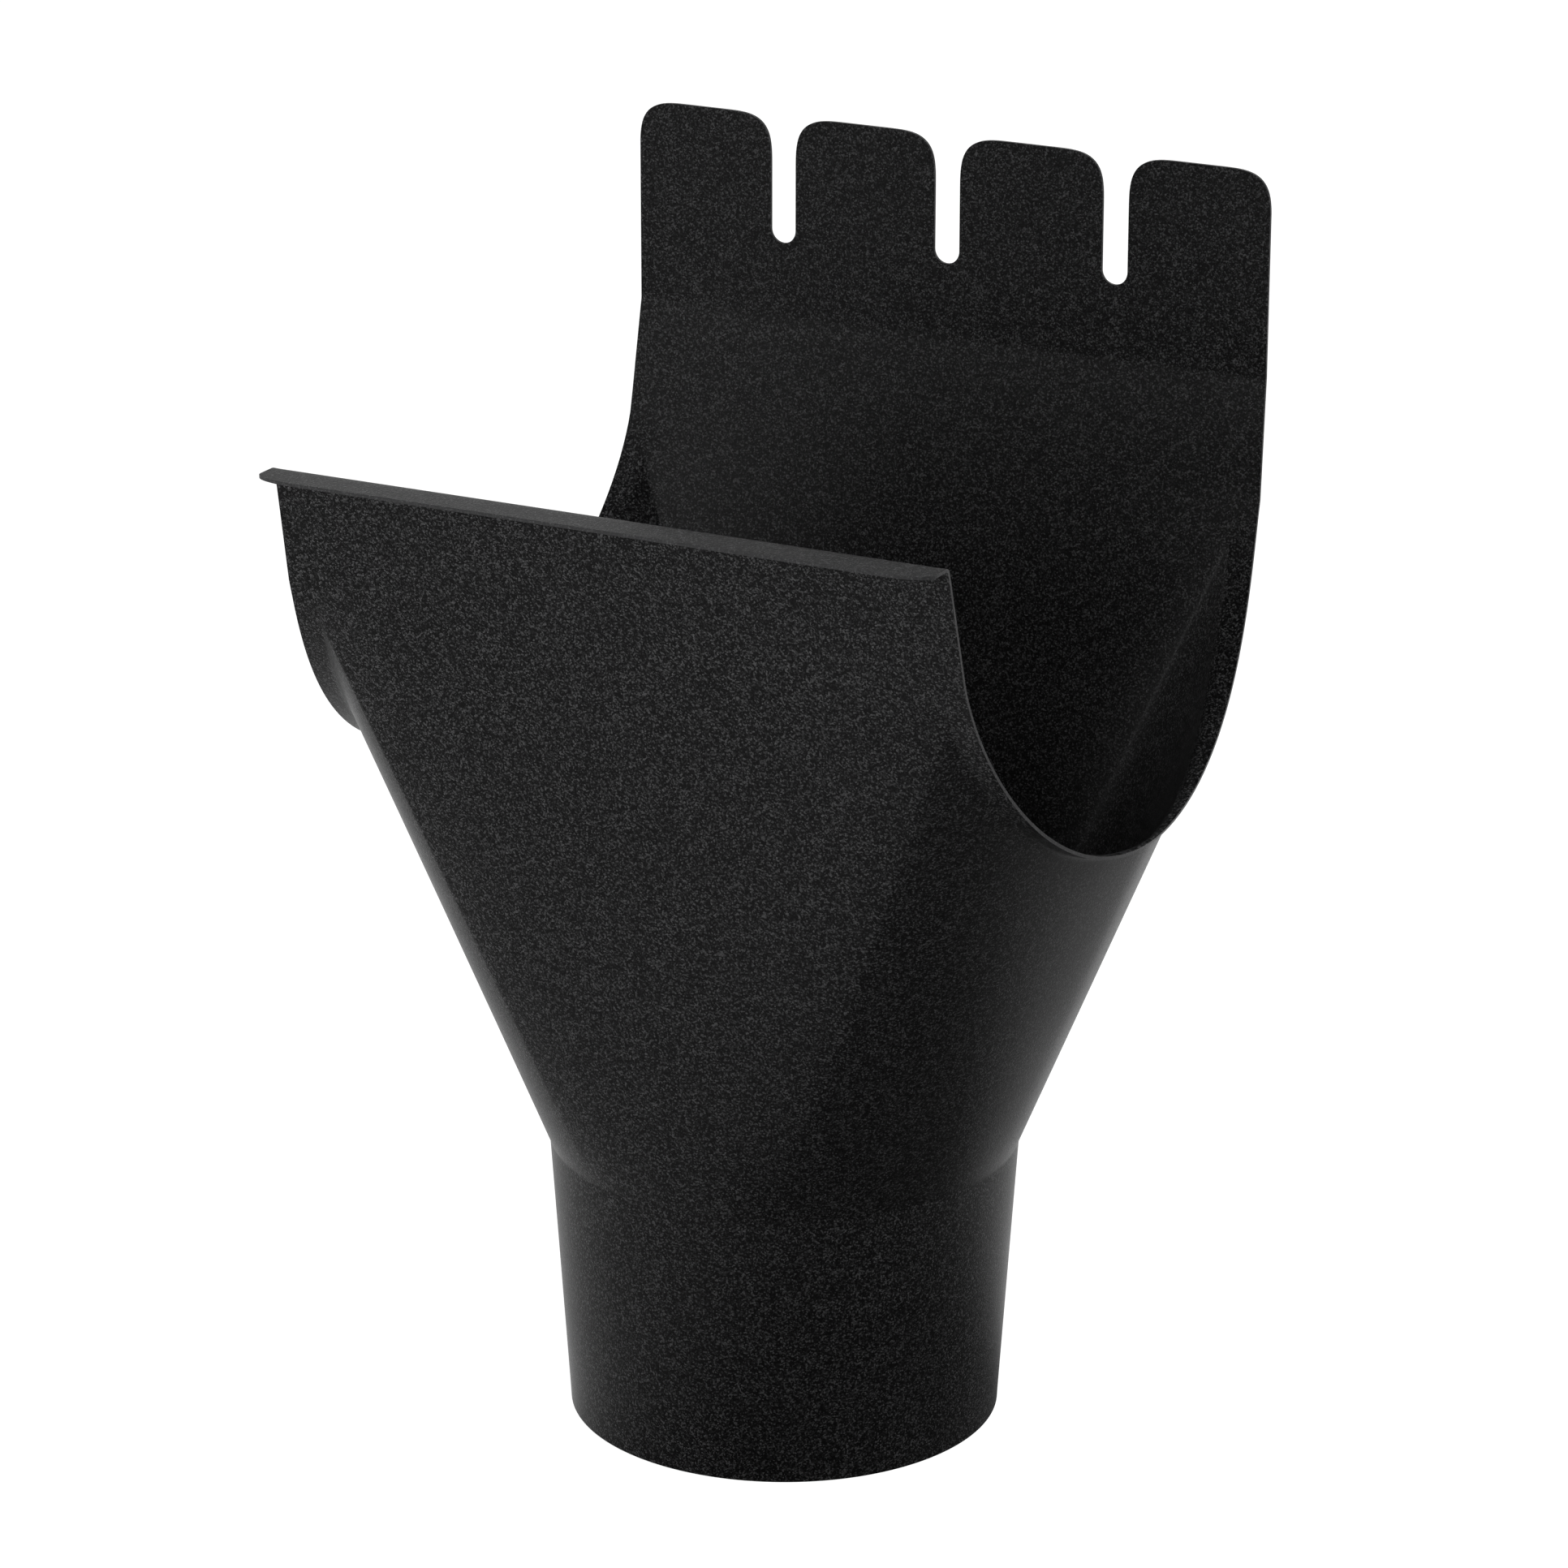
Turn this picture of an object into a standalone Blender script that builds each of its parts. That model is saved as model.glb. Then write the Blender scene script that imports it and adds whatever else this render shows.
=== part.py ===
"""Gutter outlet: a saddle, a funnel and a tapered spigot pressed from one sheet of steel.

The saddle wraps a half-round gutter from below. Its front lip hooks under the gutter's bead and the
four tabs behind are bent over the gutter's rear edge. The funnel draws the saddle down to a round
spigot, which enters the downpipe.

The gutter runs along X, the front lip is at -Y, and the spigot's end stands on Z = 0.
"""
import math
from collections import namedtuple

import bmesh
import bpy
from mathutils import Vector

MM = 0.001

# The sheet, with its coating
SHEET_THICKNESS = 0.7 * MM

# The spigot, measured on its outside
SPIGOT_TOP_RADIUS = 50.0 * MM
SPIGOT_END_RADIUS = 46.0 * MM
SPIGOT_LENGTH = 61.0 * MM

# The funnel between the spigot and the saddle's lowest line
FUNNEL_DEPTH = 78.2 * MM
CORNER_ANGLE_ON_SPIGOT = math.radians(25.6)
THROAT_RADIUS = 3.0 * MM

# The saddle's half-round bottom
SADDLE_RADIUS = 75.0 * MM
SADDLE_HALF_ARC = math.radians(72.7)
FUNNEL_CORNER_ARC = math.radians(65.0)
FACE_BLEND_POWER = 6

# The straight walls above the half round, with the lip in front and the plate of tabs behind
FRONT_WALL_HEIGHT = 24.5 * MM
FRONT_WALL_LEAN = math.radians(13.0)
REAR_WALL_HEIGHT = 25.5 * MM
REAR_WALL_LEAN = math.radians(8.5)
LIP_WIDTH = 8.7 * MM
LIP_CORNER_REACH = 9.0 * MM
LIP_CORNER_DEPTH = 3.4 * MM
LIP_BEND_RADIUS = 1.2 * MM
PLATE_HEIGHT = 44.3 * MM
PLATE_BEND_RADIUS = 5.0 * MM

# The ends of the saddle
WIDTH = 149.2 * MM
WALL_FLARE = 0.9 * MM
BOTTOM_FLARE = 8.1 * MM
FLARE_POWER = 1.5
END_STRIP_WIDTH = 5.6 * MM
END_STRIP_AT_BOTTOM = 0.5 * MM
CREASE_RADIUS = 2.0 * MM
CREASE_SHARE_OF_STRIP = 0.4

# The tabs
SLOT_COUNT = 3
SLOT_PITCH = 39.4 * MM
SLOT_WIDTH = 6.0 * MM
SLOT_DEPTH = 28.1 * MM
SHOULDER_REACH = 12.0 * MM
SHOULDER_FULLNESS = 3.6

# How finely the round forms are divided
FACE_COLUMNS = 5
CORNER_STEPS = 2
FLANK_STEPS = 13
FUNNEL_ROWS = 7
LIP_CORNER_STEPS = 5
BEND_STEPS = 3
SHOULDER_STEPS = 8
SLOT_END_STEPS = 10

SPIGOT_TRIM = 2.0 * MM
CUT_MARGIN = 5.0 * MM

Station = namedtuple("Station", "y z half_width face_y")


# The saddle's profile, seen from its end

def saddle_centre_height():
    return SPIGOT_LENGTH + FUNNEL_DEPTH + SADDLE_RADIUS


def on_saddle(arc):
    """Point (y, z) of the half round at an angle from straight down, with the front negative."""
    y = SADDLE_RADIUS * math.sin(arc)
    z = saddle_centre_height() - SADDLE_RADIUS * math.cos(arc)
    return Vector((y, z))


def front_wall_top():
    foot = on_saddle(-SADDLE_HALF_ARC)
    return foot + Vector((-math.tan(FRONT_WALL_LEAN), 1.0)) * FRONT_WALL_HEIGHT


def rear_wall_top():
    foot = on_saddle(SADDLE_HALF_ARC)
    return foot + Vector((math.tan(REAR_WALL_LEAN), 1.0)) * REAR_WALL_HEIGHT


def bend(before, corner, after, radius):
    """Points of the rounded bend between two straight runs of the sheet."""
    to_before = (before - corner).normalized()
    to_after = (after - corner).normalized()
    half_angle = to_before.angle(to_after) / 2
    centre = corner + (to_before + to_after).normalized() * radius / math.sin(half_angle)
    reach = radius / math.tan(half_angle)
    start = corner + to_before * reach - centre
    end = corner + to_after * reach - centre
    points = []
    for step in range(BEND_STEPS + 1):
        spoke = start.slerp(end, step / BEND_STEPS).normalized()
        points.append(centre + spoke * radius)
    return points


def middle_offset():
    """How far the spigot's axis lies behind the middle of the outlet's depth."""
    front = front_wall_top().x - LIP_WIDTH
    rear = rear_wall_top().x
    return -(front + rear) / 2


def half_width_on_saddle(z):
    """The ends flare out as the half round goes down."""
    top = on_saddle(SADDLE_HALF_ARC).y
    bottom = on_saddle(0.0).y
    depth = (top - z) / (top - bottom)
    return WIDTH / 2 + WALL_FLARE + BOTTOM_FLARE * depth ** FLARE_POWER


def strip_width(arc):
    """Width of the rim of saddle that the funnel leaves beside its flank."""
    swell = math.sin(abs(arc) / FUNNEL_CORNER_ARC * math.pi / 2)
    return END_STRIP_AT_BOTTOM + (END_STRIP_WIDTH - END_STRIP_AT_BOTTOM) * swell


def face_depth(z):
    """How far the funnel's front or rear face stands from the spigot's axis, at its middle."""
    foot = on_saddle(SADDLE_HALF_ARC)
    share = (foot.y - z) / (foot.y - SPIGOT_LENGTH)
    return foot.x + share * (SPIGOT_TOP_RADIUS - foot.x)


def corner_stations(side):
    """From a wall's foot to the funnel's corners, where the face leaves the half round."""
    stations = []
    for step in range(CORNER_STEPS + 1):
        arc = SADDLE_HALF_ARC + (FUNNEL_CORNER_ARC - SADDLE_HALF_ARC) * step / CORNER_STEPS
        point = on_saddle(side * arc)
        half_width = half_width_on_saddle(point.y)
        stations.append(Station(point.x, point.y, half_width, side * face_depth(point.y)))
    return stations


def flank_arcs():
    """Angles of the half round along the flank's upper edge, between the funnel's corners."""
    return [FUNNEL_CORNER_ARC * (step / FLANK_STEPS - 1) for step in range(1, 2 * FLANK_STEPS)]


def lip_stations():
    """The flat lip from its outer edge to its bend, with its outer corner rounded off."""
    corner = front_wall_top()
    edge = corner + Vector((-LIP_WIDTH, 0.0))
    rounded = bend(edge, corner, on_saddle(-SADDLE_HALF_ARC), LIP_BEND_RADIUS)
    stations = []
    for step in range(LIP_CORNER_STEPS + 1):
        turn = math.pi / 2 * step / LIP_CORNER_STEPS
        y = edge.x + LIP_CORNER_DEPTH * (1 - math.cos(turn))
        half_width = WIDTH / 2 - LIP_CORNER_REACH * (1 - math.sin(turn))
        stations.append(Station(y, edge.y, half_width, y))
    for point in rounded:
        stations.append(Station(point.x, point.y, WIDTH / 2, point.x))
    return stations


def plate_stations():
    """The bend at the top of the rear wall and the upright plate above it."""
    corner = rear_wall_top()
    top = corner + Vector((0.0, PLATE_HEIGHT))
    points = bend(on_saddle(SADDLE_HALF_ARC), corner, top, PLATE_BEND_RADIUS)
    points.append(top)
    return [Station(point.x, point.y, WIDTH / 2, point.x) for point in points]


# The funnel, a loft from the saddle's opening to the spigot's circle

def angle_on_spigot(arc):
    """Where the line from a point of the flank's upper edge meets the spigot, from its front."""
    share = 1 - abs(arc) / FUNNEL_CORNER_ARC
    angle = CORNER_ANGLE_ON_SPIGOT + share * (math.pi / 2 - CORNER_ANGLE_ON_SPIGOT)
    return angle if arc < 0 else math.pi - angle


def spigot_angles():
    face = [CORNER_ANGLE_ON_SPIGOT * column / FACE_COLUMNS for column in range(FACE_COLUMNS + 1)]
    flank = [angle_on_spigot(arc) for arc in flank_arcs()]
    return face + flank + [math.pi - angle for angle in face[::-1]]


def on_spigot(radius, angle, z):
    return Vector((radius * math.sin(angle), -radius * math.cos(angle), z))


def on_throat(angle):
    return on_spigot(SPIGOT_TOP_RADIUS, angle, SPIGOT_LENGTH)


def spigot_foot(angle):
    """The spigot runs a little past its end, where it is trimmed square."""
    taper = (SPIGOT_TOP_RADIUS - SPIGOT_END_RADIUS) / SPIGOT_LENGTH
    return on_spigot(SPIGOT_END_RADIUS - taper * SPIGOT_TRIM, angle, -SPIGOT_TRIM)


# The sheet's outer surface, one half of it

def add_row(mesh, points):
    shift = Vector((0.0, middle_offset(), 0.0))
    return [mesh.verts.new(point + shift) for point in points]


def add_band(mesh, row, next_row):
    """Faces between two rows. A cell whose corners meet in one vertex becomes a triangle."""
    for a, b, c, d in zip(row, row[1:], next_row[1:], next_row):
        corners = list(dict.fromkeys([a, b, c, d]))
        mesh.faces.new(corners)


def add_full_rows(mesh, stations):
    """Rows from the sheet's middle to its end, with the funnel's face running up into the wall."""
    rows = []
    for station in stations:
        inner = station.half_width - END_STRIP_WIDTH
        points = []
        for column in range(FACE_COLUMNS + 1):
            share = column / FACE_COLUMNS
            y = station.face_y + (station.y - station.face_y) * share ** FACE_BLEND_POWER
            points.append(Vector((inner * share, y, station.z)))
        points.append(Vector((station.half_width, station.y, station.z)))
        rows.append(add_row(mesh, points))
    for row, next_row in zip(rows, rows[1:]):
        add_band(mesh, row, next_row)
    return rows


def crease(rim, corner, throat):
    """The bend from the strip into the flank, tighter where the strip is narrow."""
    half_angle = (rim - corner).angle(throat - corner) / 2
    widest = CREASE_SHARE_OF_STRIP * (rim - corner).length * math.tan(half_angle)
    return bend(rim, corner, throat, min(CREASE_RADIUS, widest))


def add_end_strip(mesh, front_row, rear_row):
    """The strip beside the funnel's flank. Its crease opens at one corner and closes at the other."""
    rows = []
    for arc in flank_arcs():
        point = on_saddle(arc)
        half_width = half_width_on_saddle(point.y)
        rim = Vector((half_width, point.x, point.y))
        corner = Vector((half_width - strip_width(arc), point.x, point.y))
        points = [rim] + crease(rim, corner, on_throat(angle_on_spigot(arc)))
        rows.append(add_row(mesh, points))
    closed = [[row[-1]] + [row[-2]] * (BEND_STEPS + 1) for row in (front_row, rear_row)]
    rows = closed[:1] + rows + closed[1:]
    for row, next_row in zip(rows, rows[1:]):
        add_band(mesh, row, next_row)
    return [row[-1] for row in rows[1:-1]]


def add_funnel_and_spigot(mesh, opening):
    """Straight lines down the funnel, each rounded at the throat and then down the spigot."""
    shift = Vector((0.0, middle_offset(), 0.0))
    columns = []
    for vertex, angle in zip(opening, spigot_angles()):
        top = vertex.co - shift
        foot = spigot_foot(angle)
        throat = bend(top, on_throat(angle), foot, THROAT_RADIUS)
        line = [top.lerp(throat[0], row / FUNNEL_ROWS) for row in range(1, FUNNEL_ROWS)]
        columns.append(line + throat + [foot])
    rows = [opening] + [add_row(mesh, points) for points in zip(*columns)]
    for row, next_row in zip(rows, rows[1:]):
        add_band(mesh, row, next_row)


def face_outwards(mesh):
    bmesh.ops.recalc_face_normals(mesh, faces=mesh.faces)
    mesh.faces.ensure_lookup_table()
    lowest = min(mesh.faces, key=lambda face: face.calc_center_median().z)
    spoke = lowest.calc_center_median() - Vector((0.0, middle_offset(), 0.0))
    if lowest.normal.dot(spoke) < 0:
        bmesh.ops.reverse_faces(mesh, faces=mesh.faces)


def half_skin():
    mesh = bmesh.new()
    front_rows = add_full_rows(mesh, lip_stations() + corner_stations(-1))
    rear_rows = add_full_rows(mesh, corner_stations(1)[::-1] + plate_stations())
    front_row = front_rows[-1]
    rear_row = rear_rows[0]
    flank = add_end_strip(mesh, front_row, rear_row)
    add_funnel_and_spigot(mesh, front_row[:-1] + flank + rear_row[:-1][::-1])
    face_outwards(mesh)
    data = bpy.data.meshes.new("gutter_outlet")
    mesh.to_mesh(data)
    mesh.free()
    return data


# The cutters for the tabs and the spigot's end

def shoulder(reach):
    """Quarter of a full curve, from the tab's top edge to its side, about the tab's corner."""
    points = []
    for step in range(SHOULDER_STEPS + 1):
        turn = math.pi / 2 * step / SHOULDER_STEPS
        across = reach * (1 - math.sin(turn) ** (2 / SHOULDER_FULLNESS))
        down = reach * (1 - math.cos(turn) ** (2 / SHOULDER_FULLNESS))
        points.append((across, down))
    return points[::-1]


def tab_top():
    return rear_wall_top().y + PLATE_HEIGHT


def slot_side(centre):
    """The right side of a slot, from above the plate down to the middle of its round end."""
    top = tab_top()
    side = SLOT_WIDTH / 2
    end = top - SLOT_DEPTH + side
    points = [(centre + side + SHOULDER_REACH, top + CUT_MARGIN)]
    for across, down in shoulder(SHOULDER_REACH)[::-1]:
        points.append((centre + side + across, top - down))
    for step in range(SLOT_END_STEPS):
        turn = math.pi / 2 * step / SLOT_END_STEPS
        points.append((centre + side * math.cos(turn), end - side * math.sin(turn)))
    return points


def slot_outline(centre):
    right = slot_side(centre)
    left = [(2 * centre - x, z) for x, z in right[::-1]]
    return right + [(centre, tab_top() - SLOT_DEPTH)] + left


def end_corner_outline(side):
    """What is cut from the plate's outer corner, with side +1 or -1."""
    top = tab_top()
    points = [(WIDTH / 2 - across, top - down) for across, down in shoulder(SHOULDER_REACH)]
    points.append((WIDTH / 2 - SHOULDER_REACH, top + CUT_MARGIN))
    points.append((WIDTH / 2 + CUT_MARGIN, top + CUT_MARGIN))
    points.append((WIDTH / 2 + CUT_MARGIN, top - SHOULDER_REACH))
    return [(side * x, z) for x, z in points]


def add_prism(name, outline, collection):
    """A cutter that runs through the plate from front to back."""
    plate = rear_wall_top().x + middle_offset()
    mesh = bmesh.new()
    near = plate - CUT_MARGIN
    far = plate + CUT_MARGIN
    face = mesh.faces.new([mesh.verts.new((x, near, z)) for x, z in outline])
    grown = bmesh.ops.extrude_face_region(mesh, geom=[face])
    moved = [item for item in grown["geom"] if isinstance(item, bmesh.types.BMVert)]
    bmesh.ops.translate(mesh, verts=moved, vec=(0.0, far - near, 0.0))
    bmesh.ops.recalc_face_normals(mesh, faces=mesh.faces)
    return add_cutter(name, mesh, collection)


def add_trim_block(collection):
    """Everything below the spigot's end."""
    mesh = bmesh.new()
    bmesh.ops.create_cube(mesh, size=1.0)
    size = 2 * SPIGOT_TOP_RADIUS + 2 * CUT_MARGIN
    depth = 2 * SPIGOT_TRIM
    bmesh.ops.scale(mesh, vec=(size, size, depth), verts=mesh.verts)
    bmesh.ops.translate(mesh, vec=(0.0, middle_offset(), -depth / 2), verts=mesh.verts)
    return add_cutter("spigot_trim", mesh, collection)


def add_cutter(name, mesh, collection):
    data = bpy.data.meshes.new(name)
    mesh.to_mesh(data)
    mesh.free()
    cutter = bpy.data.objects.new(name, data)
    cutter.hide_render = True
    cutter.display_type = "WIRE"
    collection.objects.link(cutter)
    return cutter


def tab_cutters(collection):
    cutters = []
    for number in range(SLOT_COUNT):
        centre = (number - (SLOT_COUNT - 1) / 2) * SLOT_PITCH
        cutters.append(add_prism("slot_" + str(number + 1), slot_outline(centre), collection))
    for side, name in ((-1, "left_corner"), (1, "right_corner")):
        cutters.append(add_prism(name, end_corner_outline(side), collection))
    return cutters


# The finished piece

def coating():
    material = bpy.data.materials.new("black_matte_coating")
    material.use_nodes = True
    shader = material.node_tree.nodes["Principled BSDF"]
    shader.inputs["Base Color"].default_value = (0.016, 0.016, 0.017, 1.0)
    shader.inputs["Roughness"].default_value = 0.55
    shader.inputs["Metallic"].default_value = 0.0
    return material


def cut(outlet, cutter):
    boolean = outlet.modifiers.new(cutter.name, "BOOLEAN")
    boolean.operation = "DIFFERENCE"
    boolean.solver = "EXACT"
    boolean.object = cutter


def build_outlet():
    parts = bpy.data.collections.new("gutter_outlet")
    cutters = bpy.data.collections.new("gutter_outlet_cutters")
    bpy.context.scene.collection.children.link(parts)
    bpy.context.scene.collection.children.link(cutters)

    outlet = bpy.data.objects.new("gutter_outlet", half_skin())
    parts.objects.link(outlet)
    outlet.data.materials.append(coating())
    outlet.data.shade_smooth()
    outlet.data.set_sharp_from_angle(angle=math.radians(25.0))

    mirror = outlet.modifiers.new("other_half", "MIRROR")
    mirror.use_axis = (True, False, False)
    mirror.use_clip = True
    mirror.merge_threshold = 0.0001

    sheet = outlet.modifiers.new("sheet", "SOLIDIFY")
    sheet.thickness = SHEET_THICKNESS
    sheet.offset = -1.0
    sheet.use_even_offset = True
    sheet.use_quality_normals = True

    for cutter in tab_cutters(cutters) + [add_trim_block(cutters)]:
        cut(outlet, cutter)
    return outlet


for old in list(bpy.data.objects):
    bpy.data.objects.remove(old, do_unlink=True)

build_outlet()
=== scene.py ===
# %% [markdown]
# # A pressed gutter outlet
#
# This lesson dresses a gutter outlet: one sheet of steel, pressed into a saddle that wraps a half-round
# gutter, a funnel, and a round spigot that enters the downpipe. The whole piece wears a black coating
# with a fine grain.
#
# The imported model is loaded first. It fixes the frame: metres, +Z up out of the spigot, X along the
# gutter, and -Y towards the front lip. Everything made here goes where that model says.

import math

import bpy
from mathutils import Euler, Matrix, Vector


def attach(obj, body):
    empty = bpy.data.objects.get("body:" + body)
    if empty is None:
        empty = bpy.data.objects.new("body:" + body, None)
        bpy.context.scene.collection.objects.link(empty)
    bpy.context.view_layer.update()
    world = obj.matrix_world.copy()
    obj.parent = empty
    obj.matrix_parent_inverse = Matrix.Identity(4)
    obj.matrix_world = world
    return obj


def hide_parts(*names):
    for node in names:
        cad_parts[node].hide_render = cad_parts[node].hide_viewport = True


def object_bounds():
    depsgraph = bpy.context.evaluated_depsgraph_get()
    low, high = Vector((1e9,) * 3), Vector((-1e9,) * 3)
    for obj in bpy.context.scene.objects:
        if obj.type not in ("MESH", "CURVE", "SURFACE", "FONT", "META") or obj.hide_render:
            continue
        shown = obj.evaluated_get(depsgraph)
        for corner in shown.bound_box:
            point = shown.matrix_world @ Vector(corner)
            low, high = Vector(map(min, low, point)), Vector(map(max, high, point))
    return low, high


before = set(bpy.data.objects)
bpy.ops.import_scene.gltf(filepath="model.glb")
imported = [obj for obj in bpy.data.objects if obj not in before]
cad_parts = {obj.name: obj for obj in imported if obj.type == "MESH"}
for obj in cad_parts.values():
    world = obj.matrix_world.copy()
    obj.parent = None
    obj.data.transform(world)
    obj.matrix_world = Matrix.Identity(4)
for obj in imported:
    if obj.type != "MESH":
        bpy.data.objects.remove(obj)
model_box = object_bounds()
print("model box", [[round(value, 4) for value in corner] for corner in model_box])

# %% [markdown]
# ## The camera
#
# The product was photographed from in front and from its right, a little above, with a long lens. The
# camera's place and lens were worked out from the straight edges of the tabs, the lip and the spigot.
# A camera that looks along its own -Z is tilted up from the floor first, and turned about Z after that,
# which is the order of an XYZ Euler rotation.

# %% Place the camera
MM = 0.001
CAMERA_PLACE = (543.68 * MM, -1042.79 * MM, 545.47 * MM)
CAMERA_AZIMUTH = math.radians(27.429)
CAMERA_HEIGHT_ANGLE = math.radians(19.015)
CAMERA_ROLL = math.radians(0.068)
CAMERA_LENS = 137.3
SENSOR_WIDTH = 36.0


def camera_turn():
    """Rolled about its own view first, then tilted, then turned about the vertical."""
    roll = Euler((0.0, 0.0, CAMERA_ROLL)).to_matrix()
    tilt = Euler((math.pi / 2 - CAMERA_HEIGHT_ANGLE, 0.0, 0.0)).to_matrix()
    turn = Euler((0.0, 0.0, CAMERA_AZIMUTH)).to_matrix()
    return (turn @ tilt @ roll).to_euler()


camera_data = bpy.data.cameras.new("photo_camera")
camera_data.lens = CAMERA_LENS
camera_data.sensor_width = SENSOR_WIDTH
camera = bpy.data.objects.new("photo_camera", camera_data)
camera.location = CAMERA_PLACE
camera.rotation_euler = camera_turn()
bpy.context.scene.collection.objects.link(camera)
bpy.context.scene.camera = camera
print("lens", CAMERA_LENS, "mm, distance", round(camera.location.length, 3), "m")

# %% [markdown]
# ## Formulas as nodes
#
# Geometry nodes and shader nodes share their Math and Vector Math nodes. Wiring them by hand hides the
# formula, so one small class wraps a socket and overloads the operators: writing `a * b + 1` adds the
# two nodes that work it out. A formula that has a vector in it goes through Vector Math, and one of
# plain numbers goes through Math. What is known beforehand stays an ordinary Python number.

# %% A socket that can be used in a formula
class Wire:
    """A node's output, with operators that add the node which works the result out."""

    def __init__(self, bench, socket):
        self.bench = bench
        self.socket = socket

    def is_vector(self):
        return self.socket.type in ("VECTOR", "RGBA")

    def maths(self, operation, *values):
        wires = [value for value in values if isinstance(value, Wire)]
        if any(wire.is_vector() for wire in wires):
            kind = "ShaderNodeVectorMath"
        else:
            kind = "ShaderNodeMath"
        return self.bench.node(kind, {"operation": operation}, dict(enumerate(values)))

    def __add__(self, other):
        return self.maths("ADD", self, other)

    def __radd__(self, other):
        return self.maths("ADD", other, self)

    def __sub__(self, other):
        return self.maths("SUBTRACT", self, other)

    def __rsub__(self, other):
        return self.maths("SUBTRACT", other, self)

    def __mul__(self, other):
        return self.maths("MULTIPLY", self, other)

    def __rmul__(self, other):
        return self.maths("MULTIPLY", other, self)

    def __truediv__(self, other):
        return self.maths("DIVIDE", self, other)

    def __pow__(self, other):
        return self.maths("POWER", self, other)

    def __neg__(self):
        return self.maths("MULTIPLY", self, -1.0)

    def __abs__(self):
        return self.maths("ABSOLUTE", self)

    def dot(self, other):
        """The dot product with another vector, which may be three plain numbers."""
        settings = {"operation": "DOT_PRODUCT"}
        return self.bench.node("ShaderNodeVectorMath", settings, {0: self, 1: other}, "Value")

    def unit(self):
        return self.bench.node("ShaderNodeVectorMath", {"operation": "NORMALIZE"}, {0: self})

    def other_output(self, name):
        """Another output of the same node."""
        return Wire(self.bench, self.socket.node.outputs[name])


# %% A bench that adds the nodes of one tree
class Bench:
    """Adds nodes to one node tree: settings first, then the values or wires of the sockets."""

    def __init__(self, tree):
        self.tree = tree

    def add(self, kind, settings, inputs):
        """Adds a node and returns it."""
        added = self.tree.nodes.new(kind)
        for name, value in settings.items():
            setattr(added, name, value)
        for name, value in inputs.items():
            self.connect(value, added.inputs[name])
        return added

    def node(self, kind, settings=None, inputs=None, output=0):
        """Adds a node and returns the wire of one of its outputs."""
        return Wire(self, self.add(kind, settings or {}, inputs or {}).outputs[output])

    def connect(self, value, socket):
        """Gives a socket a wire, a list of wires or a plain value."""
        if isinstance(value, (list, tuple)) and isinstance(value[0], Wire):
            for wire in value[::-1]:
                self.tree.links.new(wire.socket, socket)
        elif isinstance(value, Wire):
            self.tree.links.new(value.socket, socket)
        elif socket.type == "VECTOR" and not hasattr(value, "__len__"):
            socket.default_value = (value, value, value)
        else:
            socket.default_value = value


def sine(angle):
    return angle.maths("SINE", angle) if isinstance(angle, Wire) else math.sin(angle)


def cosine(angle):
    return angle.maths("COSINE", angle) if isinstance(angle, Wire) else math.cos(angle)


def root(value):
    return value.maths("SQRT", value)


def lower_of(first, second):
    return first.maths("MINIMUM", first, second)


def higher_of(first, second):
    return first.maths("MAXIMUM", first, second)


def point(x, y, z):
    """One vector from three numbers, of which at least one is a wire."""
    bench = next(value.bench for value in (x, y, z) if isinstance(value, Wire))
    return bench.node("ShaderNodeCombineXYZ", {}, {0: x, 1: y, 2: z})


# %% [markdown]
# ## The pressed sheet
#
# On the real outlet everything is one sheet: the front lip, the two walls, the plate with its tabs, the
# funnel's four faces and the spigot were pressed from one blank, so no seam and no change of thickness
# shows anywhere. It could be carved with a subdivision cage, but its shape follows a rule. Seen from the
# end the saddle is a half circle with two leaning walls, every line down the funnel is straight from
# the saddle to the spigot's circle, and each bend keeps its radius. Geometry Nodes can state such a rule.
#
# The tree presses six flat grids. Each grid's column and row say where on the blank a point lies, and
# formulas say where the press takes it. The sizes are the tree's inputs, so a larger gutter or another
# downpipe is a change of one number.

# %% The sizes of the outlet
SIZES = {
    "Sheet thickness": 0.7 * MM,
    "Spigot top radius": 50.0 * MM,
    "Spigot end radius": 46.0 * MM,
    "Spigot length": 61.0 * MM,
    "Funnel depth": 78.2 * MM,
    "Throat radius": 3.0 * MM,
    "Crease radius": 2.0 * MM,
    "Saddle radius": 75.0 * MM,
    "Saddle width": 149.2 * MM,
    "Wall flare": 0.9 * MM,
    "Bottom flare": 8.1 * MM,
    "End strip width": 5.6 * MM,
    "End strip at bottom": 0.5 * MM,
    "Front wall height": 24.5 * MM,
    "Rear wall height": 25.5 * MM,
    "Lip width": 8.7 * MM,
    "Lip corner reach": 9.0 * MM,
    "Lip corner depth": 3.4 * MM,
    "Lip bend radius": 1.2 * MM,
    "Plate height": 44.3 * MM,
    "Plate bend radius": 5.0 * MM,
}
FRONT_WALL_LEAN = math.radians(13.0)
REAR_WALL_LEAN = math.radians(8.5)
WALL_FOOT_ARC = math.radians(72.7)
FUNNEL_CORNER_ARC = math.radians(65.0)
CORNER_ANGLE_ON_SPIGOT = math.radians(25.6)
BOTTOM_FLARE_POWER = 1.5
FACE_BLEND_POWER = 6
CREASE_SHARE_OF_STRIP = 0.4
CREASE_CLOSING_RATE = 8.0
CROWDING_AT_FOLDS = 0.8

# %% [markdown]
# Each grid is laid out with one unit between its points, so that a point's place is its column and its
# row. A run of rows does one thing, such as going round a bend, and `share` turns the row's number into
# how far along its run it is, from 0 before the run to 1 after it. A path is then its start and the sum
# of what each run adds, with no branches. Across the blank the columns are crowded towards the folds,
# which are tight, and far apart on the flat faces between.

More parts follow.
